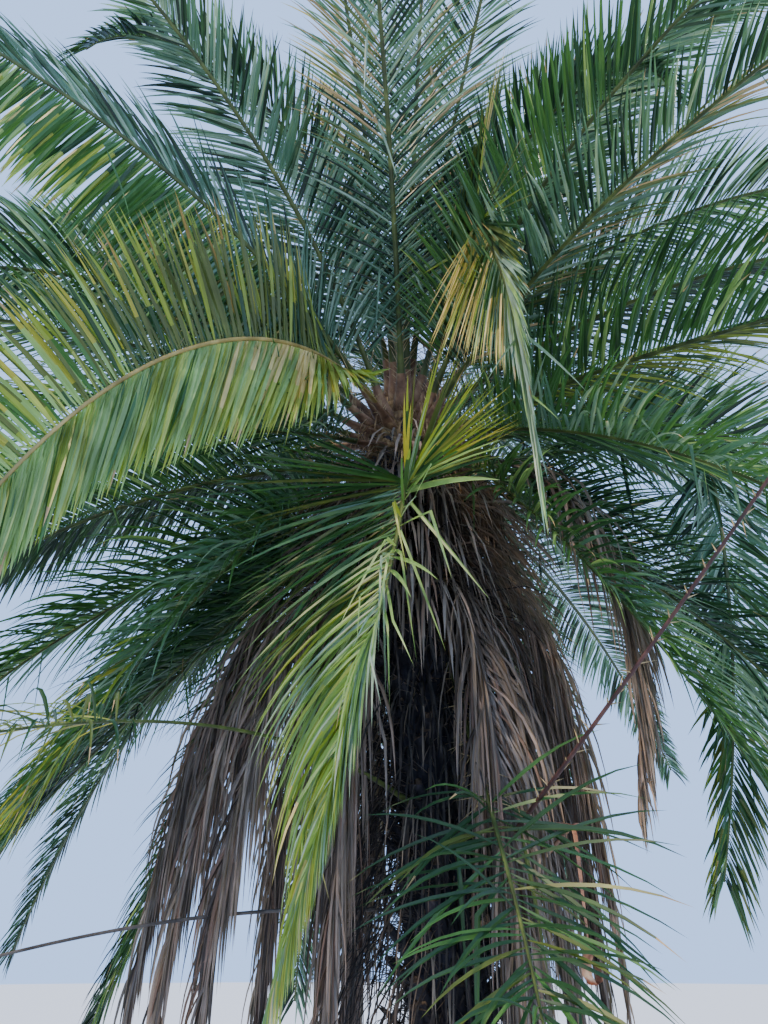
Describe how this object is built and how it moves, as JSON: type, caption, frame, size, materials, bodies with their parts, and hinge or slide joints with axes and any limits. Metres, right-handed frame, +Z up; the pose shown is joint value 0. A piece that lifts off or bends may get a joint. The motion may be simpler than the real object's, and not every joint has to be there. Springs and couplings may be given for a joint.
{
  "type": "date palm tree",
  "caption": "Whole senegal date palm: leaning stub-clad trunk, heart of young leaves, arching feather fronds all round and a ragged skirt of hanging dead ones.",
  "frame": {"origin": "centre of the trunk's flat cut at ground level", "axes": "+Z up the trunk, +X to the right as seen from the front, -Y towards the side that the picture shows"},
  "size_m": [4.9621, 4.8259, 5.3213],
  "materials": {
    "trunk_bark": "rough dark fibrous bark clad in old leaf stubs",
    "heart_fibre": "matted brown fibre and young leaf bases",
    "green_leaf": "satin leathery leaflets, deep green to yellow-green",
    "dry_leaf": "dull dry leaflets, taupe to rust",
    "old_rib": "bare dry leaf rib, thorny"
  },
  "bodies": {
    "root": {"trunk": "trunk_bark", "heart": "heart_fibre", "frond_far_1": "green_leaf", "frond_far_10": "green_leaf", "frond_far_11": "green_leaf", "frond_far_12": "green_leaf", "frond_far_13": "green_leaf", "frond_far_14": "green_leaf", "frond_far_15": "green_leaf", "frond_far_16": "green_leaf", "frond_far_17": "green_leaf", "frond_far_2": "green_leaf", "frond_far_3": "green_leaf", "frond_far_4": "green_leaf", "frond_far_5": "green_leaf", "frond_far_6": "green_leaf", "frond_far_7": "green_leaf", "frond_far_8": "green_leaf", "frond_far_9": "green_leaf", "frond_folded": "green_leaf", "frond_folded_tip": "green_leaf", "frond_front_hanging": "green_leaf", "frond_high_curl": "green_leaf", "frond_high_curl_tip": "green_leaf", "frond_left_arch": "green_leaf", "frond_left_crest": "green_leaf", "frond_left_crest_tip": "green_leaf", "frond_left_drop": "green_leaf", "frond_left_high": "green_leaf", "frond_left_low": "green_leaf", "frond_left_middle": "green_leaf", "frond_left_sag": "green_leaf", "frond_near_low": "green_leaf", "frond_right_fall": "green_leaf", "frond_right_fall_tip": "green_leaf", "frond_right_high": "green_leaf", "frond_right_low": "green_leaf", "frond_right_middle": "green_leaf", "frond_right_steep": "green_leaf", "frond_up_left": "green_leaf", "frond_up_middle": "green_leaf", "frond_up_right": "green_leaf", "stalk_low": "green_leaf", "dead_far_1": "dry_leaf", "dead_far_2": "dry_leaf", "dead_far_3": "dry_leaf", "dead_far_4": "dry_leaf", "dead_far_5": "dry_leaf", "dead_left_far": "dry_leaf", "dead_left_middle": "dry_leaf", "dead_left_near": "dry_leaf", "dead_right_far": "dry_leaf", "dead_right_middle": "dry_leaf", "dead_right_near": "dry_leaf", "dead_skirt_1": "dry_leaf", "dead_skirt_2": "dry_leaf", "dead_skirt_3": "dry_leaf", "rib_cut_stump": "old_rib", "rib_grey": "old_rib", "rib_thorny": "old_rib"}
  },
  "joints": []
}
